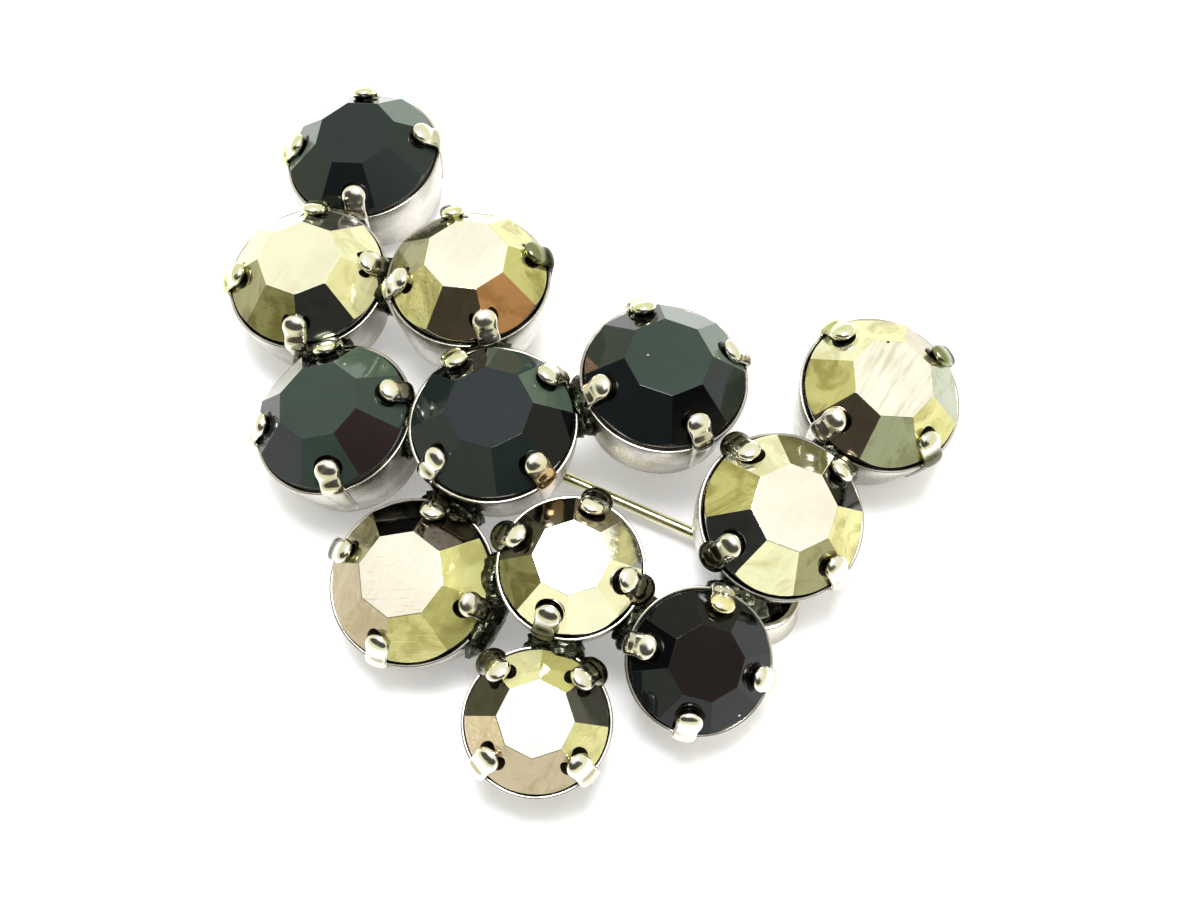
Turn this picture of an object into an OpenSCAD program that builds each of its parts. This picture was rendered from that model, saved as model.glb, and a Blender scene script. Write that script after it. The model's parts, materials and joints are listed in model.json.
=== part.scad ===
// Rhinestone brooch: a slightly domed cluster of twelve round faceted stones, each held by four
// prongs in a soldered cup, with a wire pin, its hinge and its catch at the back.
// Millimetres, +Z up. The brooch lies on its back on z = 0, with the origin under its middle.
// A stone's own frame has its girdle at z = 0 and its table facing +Z.

/* [Stones] */
// Diameter of the large stones
large_d = 8.3; // [8.2:0.05:8.35]
// Diameter of the small stones
small_d = 7.05; // [6.95:0.05:7.1]
// Height of the crown over the girdle, as a share of the diameter
crown_share = 0.245; // [0.21:0.005:0.25]
// Depth of the pavilion under the girdle, as a share of the diameter
pavilion_share = 0.33; // [0.25:0.01:0.34]
// Width of the table across its corners, as a share of the diameter
table_share = 0.545; // [0.5:0.005:0.58]
// Height of the thin girdle band at the middle of a facet
girdle_h = 0.25; // [0.15:0.05:0.3]

/* [Cups] */
// Thickness of a cup's wall at its rim
wall = 0.2; // [0.15:0.05:0.25]
// Room between a stone and the metal
seat_gap = 0.05; // [0.05:0.01:0.07]
// Depth of a cup under the girdle, as a share of the stone's diameter
cup_share = 0.445; // [0.44:0.005:0.45]
// Thickness of a cup's floor
floor_t = 0.35; // [0.3:0.05:0.4]
// How far a cup's wall draws in from its rim to its foot
draw_in = 0.65; // [0.4:0.05:0.8]
// Width of the hole in a cup's floor, as a share of the stone's diameter
hole_share = 0.5; // [0.4:0.05:0.55]

/* [Prongs] */
// Width of a prong
prong_w = 1.1; // [1.0:0.05:1.2]
// Thickness of a prong
prong_t = 0.42; // [0.35:0.05:0.5]
// How far a prong's tip reaches in over the stone's edge
prong_reach = 0.95; // [0.8:0.05:1.1]

/* [Pin] */
// Diameter of the pin wire
wire_d = 0.6; // [0.5:0.05:0.7]
// Outer diameter of the pin's eye
eye_d = 1.9; // [1.8:0.05:2]
// Width of the pin's eye along the rivet
eye_w = 1.0; // [0.8:0.05:1.05]
// Diameter of the rivet
rivet_d = 0.9; // [0.8:0.05:0.95]
// Angle that the hinge is turned about the stem, so that the stem swings out past the catch
hinge_skew = 25; // [20:1:26]

/* [Hidden] */
$fn = 64;

// One row per stone: place of its middle, lean of the stone and the bearing it leans towards,
// turn of the table's corners, diameter, and the bearings of its four prongs
STONE = [
    // x, y, z, lean, bearing, turn, diameter, prongs
    [-11.6, 16.64, 4.15, 7.5, 136, 9.7, large_d, [1, 85, 171, 265]],
    [-14.71, 8.34, 5.26, 4.8, 173, 38.5, large_d, [80, 178, 262, 356]],
    [-5.91, 6.58, 6.71, 5.3, 72, 10.7, large_d, [9, 100, 189, 282]],
    [-13.53, -0.42, 5.39, 13.5, 172, 21.7, large_d, [5, 89, 182, 271]],
    [-5.08, -2.4, 7.11, 3.2, -117, 44.9, large_d, [32, 116, 216, 306]],
    [3.89, -0.67, 7.3, 7.1, 11, 44.3, large_d, [13, 104, 197, 291]],
    [15.09, -1.69, 5.26, 14.6, -21, 20.1, large_d, [29, 124, 212, 301]],
    [9.18, -8.31, 5.68, 18.6, -43, 1.2, large_d, [35, 121, 208, 308]],
    [-9.85, -9.68, 4.53, 14.5, -131, 23.6, large_d, [63, 150, 242, 331]],
    [-1.67, -10.55, 6.76, 7.5, -71, 36.8, small_d, [65, 150, 244, 337]],
    [4.3, -15.34, 4.71, 24.9, -68, 4.2, small_d, [69, 162, 253, 341]],
    [-3.97, -17.75, 4.72, 14.1, -88, 35.8, small_d, [37, 123, 214, 309]],
];
// Columns of the table above
AT_X = 0;
AT_Y = 1;
AT_Z = 2;
AT_LEAN = 3;
AT_BEARING = 4;
AT_TURN = 5;
AT_D = 6;
AT_PRONGS = 7;

// Stones whose cups are soldered side by side, as pairs of rows
JOINED = [[0, 1], [1, 2], [1, 3], [2, 4], [3, 4], [4, 5], [4, 8],
          [5, 7], [7, 6], [7, 10], [8, 9], [9, 10], [9, 11]];
// Rows whose cups have a closed floor, because the hinge or the catch is soldered to it
CLOSED = [4, 7];
// Solder between two cups: its diameter, its height, and how far its middle lies under the girdles
solder_d = 1.8;
solder_h = 2.0;
solder_drop = 1.6;

// Facets round the crown and round the pavilion, and half the angle of one
facets = 8;
half_facet = 180 / facets;
// Height of the girdle's upper edge at the middle of a facet
girdle_top = 0.1;
// Height of a cup's rim, depth of the ledge under the stone, and how far the ledge reaches in
rim_z = -0.1;
ledge_z = -0.55;
ledge_w = 0.3;
// How far a prong is sunk into its cup's wall, and how far over the cup's foot it starts
prong_sink = 0.17;
prong_foot = 0.9;
// Share of a cup's depth down to which its wall is nearly straight, and how much of the draw-in
// it takes there
straight_share = 0.4;
straight_draw = 0.25;
// Extra length of a cutting tool past what it cuts
past = 0.1;

// Middle of the pin's eye, and the pin's point
hinge_at = [-5.76, -0.87, 1.85];
pin_tip = [8.6, -9.1, 1.05];
pin_run = pin_tip - hinge_at;
pin_len = norm(pin_run);
pin_bearing = atan2(pin_run.y, pin_run.x);
pin_slope = asin(-pin_run.z / pin_len);
// Length of the sharpened point, and the width of its blunt end
point_len = 2.6;
point_d = 0.15;
// Wider neck where the wire leaves its eye: its width at the eye, and how far it reaches
neck_d = 0.84;
neck_from = 0.7;
neck_to = 1.2;
// Running room of the eye on the rivet, of the rivet in its ears, and beside the eye
eye_room = 0.05;
ear_room = 0.02;
side_room = 0.08;
// Ears of the hinge: thickness, width and length up to the plate
ear_t = 0.45;
ear_w = 1.8;
ear_len = 2.2;
rivet_head_d = 1.4;
rivet_head_t = 0.3;
// Plate that carries the ears, soldered under its cup
plate_size = [3.2, 3.3, 0.45];
plate_at = [0, 0.6, 1.25];

// Catch: room round the wire, thickness, length, and how far it starts from the pin's point
catch_r = 0.5;
catch_t = 0.42;
catch_len = 1.9;
catch_back = 2.4;
// Half of the angle over which the catch is open, on the side where the stem swings out
mouth_half = 70;
// Post that joins the catch to its cup
post_w = 0.9;
post_h = 1.3;
// Guard of the catch, a strip on its edge that curls past the pin's point
guard_at = [7.9, -11.1];
guard_r = 1.98;
guard_t = 0.42;
guard_h = 2.3;
guard_from = -118;
guard_to = 38;

function crown_h(d) = d * crown_share;
function pavilion_h(d) = d * pavilion_share;
function cup_depth(d) = d * cup_share;
function seat_r(d) = d / 2 + seat_gap;
function cup_r(d) = seat_r(d) + wall;
function table_apothem(d) = d / 2 * table_share * cos(half_facet);
// Steepness of the crown and pavilion facets, as rise over run
function crown_rise(d) = (crown_h(d) - girdle_top) / (d / 2 - table_apothem(d));
function pavilion_rise(d) = (pavilion_h(d) + girdle_top - girdle_h) / (d / 2);
// Height of the crown along the edge between two facets, at radius r
function crown_edge_z(d, r) = girdle_top + (d / 2 - r * cos(half_facet)) * crown_rise(d);
// Place of a stone's middle, and of its foot's middle
function middle(row) = [STONE[row][AT_X], STONE[row][AT_Y], STONE[row][AT_Z]];
function reach(row) = cup_r(STONE[row][AT_D]);
// Height at which a cup's wall bends inwards
function knee_z(d) = -straight_share * cup_depth(d);
// How far a cup's wall has drawn in at height z
function drawn(d, z) = lookup(-z / cup_depth(d), [
    [0, 0],
    [straight_share, straight_draw * draw_in],
    [1, draw_in],
]);

// Moves a stone, or what holds it, from its own frame to its place in the brooch
module placed(row) {
    translate(middle(row))
        rotate([0, 0, STONE[row][AT_BEARING]])
            rotate([0, STONE[row][AT_LEAN], 0])
                rotate([0, 0, -STONE[row][AT_BEARING]])
                    children();
}

// Eight large blocks, each with one face through radius r at height z that slopes inwards
// by the given angle: what they share has eight flat facets. side is 1 for a crown, -1 for
// a pavilion
module faceted(r, z, angle, side, size) {
    intersection_for(i = [0:facets - 1])
        rotate([0, 0, i * 2 * half_facet])
            translate([r, 0, z])
                rotate([0, side * angle, 0])
                    translate([-size, -size, side > 0 ? -size : 0])
                        cube([2 * size, 2 * size, size]);
}

// Round stone with a table, eight crown facets, a thin girdle and a pointed pavilion
module cut_stone(d) {
    intersection() {
        translate([0, 0, -pavilion_h(d)])
            cylinder(d = d, h = pavilion_h(d) + crown_h(d));
        faceted(d / 2, girdle_top, atan(crown_rise(d)), 1, 2 * d);
        faceted(d / 2, girdle_top - girdle_h, atan(pavilion_rise(d)), -1, 2 * d);
    }
}

module stone(row) {
    placed(row)
        rotate([0, 0, STONE[row][AT_TURN] + half_facet])
            cut_stone(STONE[row][AT_D]);
}

// Outside of a cup, solid, drawn in towards its foot
module cup_body(d) {
    rotate_extrude()
        polygon([
            [0, -cup_depth(d)],
            [cup_r(d) - draw_in, -cup_depth(d)],
            [cup_r(d) - drawn(d, knee_z(d)), knee_z(d)],
            [cup_r(d), rim_z],
            [0, rim_z],
        ]);
}

// Room inside a cup, with the ledge that the stone rests on and the room of the stone's crown
module cup_room(d, hole_d) {
    floor_z = floor_t - cup_depth(d);
    inner_r = seat_r(d) - ledge_w;
    table_r = d / 2 * table_share + seat_gap;
    rotate_extrude()
        polygon([
            [0, floor_z],
            [inner_r - draw_in, floor_z],
            [inner_r - drawn(d, knee_z(d)), knee_z(d)],
            [inner_r, ledge_z],
            [seat_r(d), ledge_z],
            [seat_r(d), crown_edge_z(d, seat_r(d)) + seat_gap],
            [table_r, crown_edge_z(d, table_r) + seat_gap],
            [0, crown_h(d) + seat_gap],
        ]);
    if (hole_d > 0)
        translate([0, 0, -cup_depth(d) - past])
            cylinder(d = hole_d, h = floor_t + 2 * past);
}

// Side view of a prong as [radius, height]: a strap up the cup's wall, a rounded shoulder, and
// a tip that follows the crown
function prong_side(d) =
    let (slope = atan(crown_rise(d) * cos(half_facet)),
         inside = cup_r(d) - prong_sink,
         outside = inside + prong_t,
         tip_r = d / 2 - prong_reach,
         gap = seat_gap / cos(slope) + 0.02,
         bend_z = crown_edge_z(d, inside) + gap,
         tip = [tip_r, crown_edge_z(d, tip_r) + gap],
         turn = 90 - slope,
         foot_z = prong_foot - cup_depth(d),
         steps = 4)
    [
        [inside - drawn(d, foot_z), foot_z],
        [outside - drawn(d, foot_z), foot_z],
        [outside - drawn(d, knee_z(d)), knee_z(d)],
        for (i = [0:steps])
            [inside, bend_z] + prong_t * [cos(turn * i / steps), sin(turn * i / steps)],
        tip + prong_t * 0.9 * [cos(turn), sin(turn)] + 0.15 * [sin(turn), -cos(turn)],
        tip + prong_t * 0.45 * [cos(turn), sin(turn)] - 0.02 * [sin(turn), -cos(turn)],
        tip,
        [inside, bend_z],
        [inside - drawn(d, knee_z(d)), knee_z(d)],
    ];

// Prong with a round tip
module prong(d) {
    tip_r = d / 2 - prong_reach;
    intersection() {
        rotate([90, 0, 0])
            linear_extrude(prong_w, center = true)
                polygon(prong_side(d));
        translate([0, 0, -cup_depth(d)])
            union() {
                translate([tip_r + prong_w / 2 - 0.05, 0, 0])
                    cylinder(d = prong_w, h = cup_depth(d) + d);
                translate([tip_r + prong_w / 2 - 0.05, -prong_w / 2, 0])
                    cube([d, prong_w, cup_depth(d) + d]);
            }
    }
}

// Solder that fills the corner between two cups
module solder(pair) {
    a = middle(pair[0]);
    b = middle(pair[1]);
    run = [b.x - a.x, b.y - a.y];
    share = (norm(run) + reach(pair[0]) - reach(pair[1])) / 2 / norm(run);
    translate(a + share * (b - a) - [0, 0, solder_drop + solder_h / 2])
        cylinder(d = solder_d, h = solder_h);
}

// Moves from the pin's own frame, with +X along the stem and +Y along the rivet
module along_pin() {
    translate(hinge_at)
        rotate([0, 0, pin_bearing])
            rotate([0, pin_slope, 0])
                rotate([-hinge_skew, 0, 0])
                    children();
}

// Cylinder along the rivet, as wide as given on both sides of the middle
module across(d, from, to) {
    translate([0, from, 0])
        rotate([-90, 0, 0])
            cylinder(d = d, h = to - from);
}

module hinge_ears() {
    ear_from = eye_w / 2 + side_room;
    ear_to = ear_from + ear_t;
    for (side = [-1, 1]) {
        across(ear_w, min(side * ear_from, side * ear_to), max(side * ear_from, side * ear_to));
        translate([-ear_w / 2, min(side * ear_from, side * ear_to), 0])
            cube([ear_w, ear_t, ear_len]);
    }
    // the plate lies flat under the cup, so it undoes the hinge's turn
    rotate([hinge_skew, 0, 0])
        rotate([0, -pin_slope, 0])
            translate([plate_at.x - plate_size.x / 2, plate_at.y - plate_size.y / 2, plate_at.z])
                cube(plate_size);
}

// Hook round the wire, open on the side where the stem swings out
module catch_hook() {
    along_pin()
        translate([pin_len - catch_back, 0, 0])
            rotate([0, 90, 0])
                difference() {
                    union() {
                        cylinder(r = catch_r + catch_t, h = catch_len);
                        rotate([0, 0, 180 + hinge_skew])
                            translate([0, -post_w / 2, 0])
                                cube([post_h, post_w, catch_len]);
                    }
                    translate([0, 0, -past])
                        cylinder(r = catch_r, h = catch_len + 2 * past);
                    translate([0, 0, -past])
                        linear_extrude(catch_len + 2 * past)
                            polygon([
                                [0, 0],
                                2 * [cos(mouth_half), sin(mouth_half)],
                                [2.5, 0],
                                2 * [cos(mouth_half), -sin(mouth_half)],
                            ]);
                }
}

module catch_guard() {
    translate([guard_at.x, guard_at.y, 0])
        rotate([0, 0, guard_from])
            rotate_extrude(angle = guard_to - guard_from)
                translate([guard_r - guard_t, 0])
                    square([guard_t, guard_h]);
}

module setting_frame() {
    color("silver")
        difference() {
            union() {
                for (row = [0:len(STONE) - 1])
                    placed(row) {
                        cup_body(STONE[row][AT_D]);
                        for (bearing = STONE[row][AT_PRONGS])
                            rotate([0, 0, bearing])
                                prong(STONE[row][AT_D]);
                    }
                for (pair = JOINED)
                    solder(pair);
                along_pin()
                    hinge_ears();
                catch_hook();
                catch_guard();
            }
            for (row = [0:len(STONE) - 1])
                placed(row)
                    cup_room(STONE[row][AT_D],
                             len(search(row, CLOSED)) > 0 ? 0 : hole_share * STONE[row][AT_D]);
            along_pin()
                across(rivet_d + 2 * ear_room, -2 * eye_w, 2 * eye_w);
        }
}

module hinge_rivet() {
    head_from = eye_w / 2 + side_room + ear_t + ear_room;
    color("gray")
        along_pin() {
            across(rivet_d, -head_from - rivet_head_t, head_from + rivet_head_t);
            across(rivet_head_d, head_from, head_from + rivet_head_t);
            across(rivet_head_d, -head_from - rivet_head_t, -head_from);
        }
}

module pin_stem() {
    color("silver")
        along_pin()
            difference() {
                union() {
                    across(eye_d, -eye_w / 2, eye_w / 2);
                    rotate([0, 90, 0])
                        cylinder(d = wire_d, h = pin_len - point_len);
                    translate([neck_from, 0, 0])
                        rotate([0, 90, 0])
                            cylinder(d1 = neck_d, d2 = wire_d, h = neck_to - neck_from);
                    translate([pin_len - point_len, 0, 0])
                        rotate([0, 90, 0])
                            cylinder(d1 = wire_d, d2 = point_d, h = point_len);
                }
                across(rivet_d + 2 * eye_room, -eye_w, eye_w);
            }
}

module black(row) {
    color([0.1, 0.11, 0.12])
        stone(row);
}

module gold(row) {
    color([0.8, 0.77, 0.55])
        stone(row);
}

setting_frame();
hinge_rivet();
pin_stem();
black(0);  // black_stone_1
gold(1);  // gold_stone_1
gold(2);  // gold_stone_2
black(3);  // black_stone_2
black(4);  // black_stone_3
black(5);  // black_stone_4
gold(6);  // gold_stone_3
gold(7);  // gold_stone_4
gold(8);  // gold_stone_5
gold(9);  // gold_stone_6
black(10);  // black_stone_5
gold(11);  // gold_stone_7
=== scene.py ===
"""Looks of a rhinestone brooch: twelve faceted stones in prong cups, with a wire pin behind them.

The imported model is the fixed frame. Each stone's place is read from its own CAD node, and the
pin's place from its joint and its mount, so the metal and the stones made here stay on the solids.
Lengths are in millimetres until a mesh is finished, and in metres from then on.
"""

from __future__ import annotations

import json
import logging
from collections import defaultdict
from collections.abc import Callable, Iterable, Sequence
from dataclasses import dataclass, field
from enum import Enum
from math import acos, atan, atan2, copysign, cos, pi, radians, sin, sqrt, tan, tau

import bmesh
import bpy
from mathutils import Matrix, Vector, noise


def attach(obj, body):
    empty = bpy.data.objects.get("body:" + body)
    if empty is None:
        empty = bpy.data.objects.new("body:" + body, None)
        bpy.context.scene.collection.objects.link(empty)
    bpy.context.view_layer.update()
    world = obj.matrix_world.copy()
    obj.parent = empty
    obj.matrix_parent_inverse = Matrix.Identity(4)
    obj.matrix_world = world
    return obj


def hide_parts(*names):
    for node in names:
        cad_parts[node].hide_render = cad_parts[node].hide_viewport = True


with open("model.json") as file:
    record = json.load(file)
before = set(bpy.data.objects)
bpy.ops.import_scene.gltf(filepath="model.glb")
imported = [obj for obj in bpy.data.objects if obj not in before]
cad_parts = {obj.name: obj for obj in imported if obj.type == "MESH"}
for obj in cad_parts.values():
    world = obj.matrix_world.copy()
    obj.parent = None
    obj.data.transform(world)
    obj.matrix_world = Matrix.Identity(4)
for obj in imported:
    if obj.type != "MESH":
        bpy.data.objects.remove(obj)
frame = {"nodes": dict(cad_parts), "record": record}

log = logging.getLogger("brooch")

BMesh = bmesh.types.BMesh
BMVert = bmesh.types.BMVert
Socket = bpy.types.NodeSocket
Pair = tuple[float, float]
Triple = tuple[float, float, float]

MM = 0.001
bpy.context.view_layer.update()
BROOCH = "brooch"
PIN = "pin"
FACETS = 8
FACET_STEP = tau / FACETS
# Name of the tints on plated metal's vertices, which paint highlights, reflections and shade into
# it
TINT = "plate_tint"
# Corners that lie nearer to each other are one
WELD = 1e-5
# Less than this counts as nothing
FINE = 1e-6
# Turns what was spun round Z to lie round Y
ON_SIDE = Matrix.Rotation(pi / 2, 3, "X")


def clamp(value: float) -> float:
    """Keeps a value between 0 and 1."""
    return max(0.0, min(1.0, value))


def linear(*screen: int) -> tuple[float, ...]:
    """Turns a screen colour, with channels from 0 to 255, into Blender's linear colour."""
    shares = (value / 255 for value in screen)
    return tuple(s / 12.92 if s <= 0.04045 else ((s + 0.055) / 1.055) ** 2.4 for s in shares)


# Finishes


class Tone(Enum):
    """Tone of one facet: its screen colour, which paints in the reflections and shade that the
    facet shows, then how strongly it is streaked, mottled and hazy.
    """

    WHITE = 255, 254, 247, 0.0, 0.0, 0.0
    CREAM = 254, 249, 228, 0.1, 0.05, 0.0
    IVORY = 244, 240, 206, 0.1, 0.05, 0.0
    PEACH = 255, 247, 228, 0.14, 0.05, 0.0
    BRUSHED = 255, 250, 230, 0.65, 0.1, 0.0
    PALE_GOLD = 243, 242, 218, 0.1, 0.35, 0.15
    LIME_GOLD = 206, 202, 146, 0.2, 0.5, 0.25
    CELERY = 212, 208, 158, 0.2, 0.3, 0.7
    LEAF = 208, 206, 138, 0.2, 0.35, 0.8
    KHAKI = 174, 170, 104, 0.2, 0.4, 0.75
    OLIVE = 196, 192, 132, 0.3, 0.7, 0.2
    DEEP_OLIVE = 130, 127, 88, 0.3, 0.8, 0.2
    LODEN = 98, 95, 62, 0.2, 0.5, 0.8
    SOOT = 60, 60, 52, 0.1, 0.3, 0.8
    SAGE = 156, 162, 140, 0.3, 0.6, 0.2
    STEEL = 158, 165, 166, 0.1, 0.3, 0.0
    SAND = 220, 203, 178, 0.3, 0.2, 0.0
    TAUPE = 169, 157, 129, 0.4, 0.3, 0.2
    AMBER = 162, 116, 72, 0.2, 0.5, 0.5
    UMBER = 104, 97, 86, 0.1, 0.3, 0.0
    BARK = 78, 75, 64, 0.1, 0.3, 0.0
    NIGHT = 58, 58, 56, 0.0, 0.2, 0.0
    ASH = 150, 152, 142, 0.0, 0.1, 0.0
    FROST = 86, 99, 90, 0.0, 0.1, 0.0
    FERN = 66, 82, 70, 0.0, 0.1, 0.0
    MOSS = 46, 58, 52, 0.0, 0.1, 0.0
    SLATE = 29, 37, 36, 0.0, 0.1, 0.0
    INK = 35, 41, 44, 0.0, 0.1, 0.0
    MAROON = 38, 28, 30, 0.0, 0.1, 0.0
    EMBER = 29, 25, 24, 0.0, 0.0, 0.0
    COAL = 19, 23, 25, 0.0, 0.0, 0.0
    JET = 4, 6, 7, 0.0, 0.0, 0.0

    @property
    def color(self) -> tuple[float, ...]:
        """Colour with an alpha of one."""
        return (*linear(*self.value[:3]), 1.0)

    @property
    def wear(self) -> tuple[float, ...]:
        """Streaks, mottling and haze, in the first three channels."""
        return (*self.value[3:], 1.0)


class Plate(Enum):
    """Screen tints of a prong at its bead, shoulder and foot, mostly painted highlights,
    reflections and shade, and of a cup, clear and in painted shade.
    """

    SILVER = (236, 232, 221), (206, 201, 191), (206, 201, 191)
    GREEN = (228, 228, 200), (198, 201, 156), (206, 201, 191)
    # A yellow tint on the bead
    GILT = (243, 232, 186), (206, 201, 191), (206, 201, 191)
    WARM = (234, 228, 214), (214, 184, 146), (190, 184, 170)
    # Darker at the foot of the strap
    TARNISHED = (236, 232, 221), (206, 201, 186), (118, 114, 90)
    SHADED = (234, 230, 217), (96, 95, 78), (190, 186, 174)
    # Dark bead and shoulder: a painted dark reflection
    DARK = (134, 138, 104), (50, 52, 36), (190, 186, 174)
    # Dark shoulder, and a dark dome under it: a painted reflection of the dark cups beside it
    DOMED = (234, 230, 217), (70, 68, 54), (190, 186, 174)
    # A cup, clear and in painted shade where the next cup stands close
    CUP = (201, 196, 187), (100, 100, 84)
    # The guard, clear and in painted shade on its inside
    GUARD = (204, 199, 186), (84, 86, 70)
    # A painted shadow line along the inner side of a bead
    SHADOW_LINE = (20, 19, 14), (20, 19, 14)

    def tint(self, share: float) -> tuple[float, ...]:
        """Mixes the tints.

        Args:
            share: 0 at the bead, 1 at the shoulder and 2 at the foot. On a cup 1 is where its
                neighbour touches.

        Returns:
            The mixed colour, with an alpha of one.
        """
        step = min(int(share), len(self.value) - 2)
        first, second = (linear(*screen) for screen in self.value[step : step + 2])
        return (*(a + (b - a) * (share - step) for a, b in zip(first, second)), 1.0)


@dataclass
class Nodes:
    """Adds and links shader nodes in one tree."""

    tree: bpy.types.NodeTree

    def feed(self, target: Socket, value: object) -> None:
        """Links an input to an output, or sets its default.

        Args:
            target: The input.
            value: Output of another node, or a plain value. A colour may go without its alpha.
        """
        if isinstance(value, Socket):
            self.tree.links.new(value, target)
        elif target.type == "RGBA":
            target.default_value = (*value[:3], 1.0)
        else:
            target.default_value = value

    def add(self, kind: str, **settings: object) -> bpy.types.Node:
        """Adds a node.

        Args:
            kind: Node type, without its ShaderNode prefix.
            **settings: Properties of the node, or with a leading i_ what feeds the input of that
                name or number. A double underscore stands for a space.

        Returns:
            The new node.
        """
        node = self.tree.nodes.new("ShaderNode" + kind)
        for name, value in settings.items():
            if name.startswith("i_"):
                key = name[2:].replace("__", " ")
                self.feed(node.inputs[int(key) if key.isdigit() else key], value)
            else:
                setattr(node, name, value)
        return node

    def noise(self, vector: Socket, scale: Socket | float, **settings: float) -> Socket:
        """Gives a noise at a scale, from 0 to 1, with its settings named as add names them."""
        node = self.add("TexNoise", i_Vector=vector, i_Scale=scale, **settings)
        return node.outputs["Fac"]

    def ramp(self, source: Socket, low: float, high: float) -> Socket:
        """Stretches a value so that low becomes 0 and high becomes 1, with soft ends."""
        node = self.add("MapRange", interpolation_type="SMOOTHSTEP", i_Value=source,
                        i_From__Min=low, i_From__Max=high)
        return node.outputs["Result"]

    def calc(self, operation: str, first: Socket, second: Socket | float) -> Socket:
        """Does one sum with two values."""
        return self.add("Math", operation=operation, i_0=first, i_1=second).outputs[0]

    def blend(
        self, mode: str, share: Socket | float, first: Socket | Triple, second: Socket | Triple
    ) -> Socket:
        """Mixes a share of the second colour into the first, in a way that the mode names."""
        # A Mix node has more inputs and outputs than these, for other kinds of value
        node = self.add("Mix", data_type="RGBA", blend_type=mode, i_0=share, i_6=first, i_7=second)
        return node.outputs[2]


def handled_surface() -> bpy.types.NodeTree:
    """Gives the group that lays faint clouds, smudges and hairlines on a polished surface.

    Returns:
        The group, which is built once. Its inputs are Vector, Color, Clouds, Scale, Clean and
        Smudged, and its outputs Color, Roughness and Height.
    """
    name = "handled_surface"
    if name in bpy.data.node_groups:
        return bpy.data.node_groups[name]
    tree = bpy.data.node_groups.new(name, "ShaderNodeTree")
    for way, kind, sockets in (
        ("INPUT", "Vector", "Vector"),
        ("INPUT", "Color", "Color"),
        ("INPUT", "Float", "Clouds Scale Clean Smudged"),
        ("OUTPUT", "Color", "Color"),
        ("OUTPUT", "Float", "Roughness Height"),
    ):
        for socket in sockets.split():
            tree.interface.new_socket(socket, in_out=way, socket_type="NodeSocket" + kind)
    nodes = Nodes(tree)
    given = tree.nodes.new("NodeGroupInput").outputs
    made = tree.nodes.new("NodeGroupOutput").inputs
    place, scale = given["Vector"], given["Scale"]
    clouds = nodes.noise(place, scale, i_Detail=3.0, i_Roughness=0.55)
    smudges = nodes.noise(place, nodes.calc("MULTIPLY", scale, 2.7),
                          i_Detail=5.0, i_Roughness=0.65, i_Distortion=0.6)
    drawn = nodes.add("Mapping", vector_type="POINT", i_Vector=place,
                      i_Rotation=(0.4, 0.7, 0.9), i_Scale=(1.0, 14.0, 14.0))
    hairs = nodes.noise(drawn.outputs["Vector"], nodes.calc("MULTIPLY", scale, 1.6), i_Detail=2.0)
    shade = nodes.calc("MULTIPLY", nodes.ramp(clouds, 0.38, 0.66), given["Clouds"])
    nodes.feed(made["Color"], nodes.blend("MULTIPLY", shade, given["Color"], (0.35, 0.36, 0.3)))
    rough = nodes.add("MapRange", i_Value=nodes.ramp(smudges, 0.42, 0.72),
                      i_To__Min=given["Clean"], i_To__Max=given["Smudged"])
    nodes.feed(made["Roughness"], rough.outputs["Result"])
    raised = nodes.calc("MULTIPLY", nodes.ramp(hairs, 0.55, 0.75), 0.12)
    nodes.feed(made["Height"], nodes.calc("ADD", clouds, raised))
    return tree


@dataclass
class Coat:
    """A material that is being made: its nodes, Object coordinates, surface marks and shader."""

    nodes: Nodes
    place: Socket
    marks: bpy.types.Node
    shader: bpy.types.Node


@dataclass(frozen=True)
class Finish:
    """What every finish holds: its name, its place in the record, and its gloss."""

    name: str
    color: tuple[float, ...] = (0.8, 0.8, 0.8)
    slot: str = "silver_metal"
    metallic: float = 1.0
    ior: float = 1.5
    clean: float = 0.1
    smudged: float = 0.2
    clouds: float = 0.2
    scale: float = 900.0
    bump: float = 0.1
    bump_mm: float = 0.02

    def material(self) -> bpy.types.Material:
        """Gives the material, made on first use.

        Returns:
            The material, with its surface marks from the shared group.
        """
        if self.name in bpy.data.materials:
            return bpy.data.materials[self.name]
        material = bpy.data.materials.new(self.name)
        material.use_nodes = True
        material.node_tree.nodes.clear()
        nodes = Nodes(material.node_tree)
        shader = nodes.add("BsdfPrincipled", i_Metallic=self.metallic, i_IOR=self.ior)
        nodes.add("OutputMaterial", i_Surface=shader.outputs["BSDF"])
        place = nodes.add("TexCoord").outputs["Object"]
        marks = nodes.add("Group", node_tree=handled_surface(), i_Vector=place,
                          i_Clouds=self.clouds, i_Scale=self.scale, i_Clean=self.clean,
                          i_Smudged=self.smudged)
        coat = Coat(nodes, place, marks, shader)
        nodes.feed(marks.inputs["Color"], self._color(coat))
        nodes.feed(shader.inputs["Base Color"], marks.outputs["Color"])
        nodes.feed(shader.inputs["Roughness"], marks.outputs["Roughness"])
        bump = nodes.add("Bump", i_Strength=self.bump, i_Distance=self.bump_mm * MM,
                         i_Height=self._height(coat))
        nodes.feed(shader.inputs["Normal"], bump.outputs["Normal"])
        return material

    def _color(self, coat: Coat) -> Socket | tuple[float, ...]:
        """Gives the colour under the marks, here one colour all over."""
        return self.color

    def _height(self, coat: Coat) -> Socket:
        """Gives the height that the bump follows, here that of the marks."""
        return coat.marks.outputs["Height"]


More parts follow.
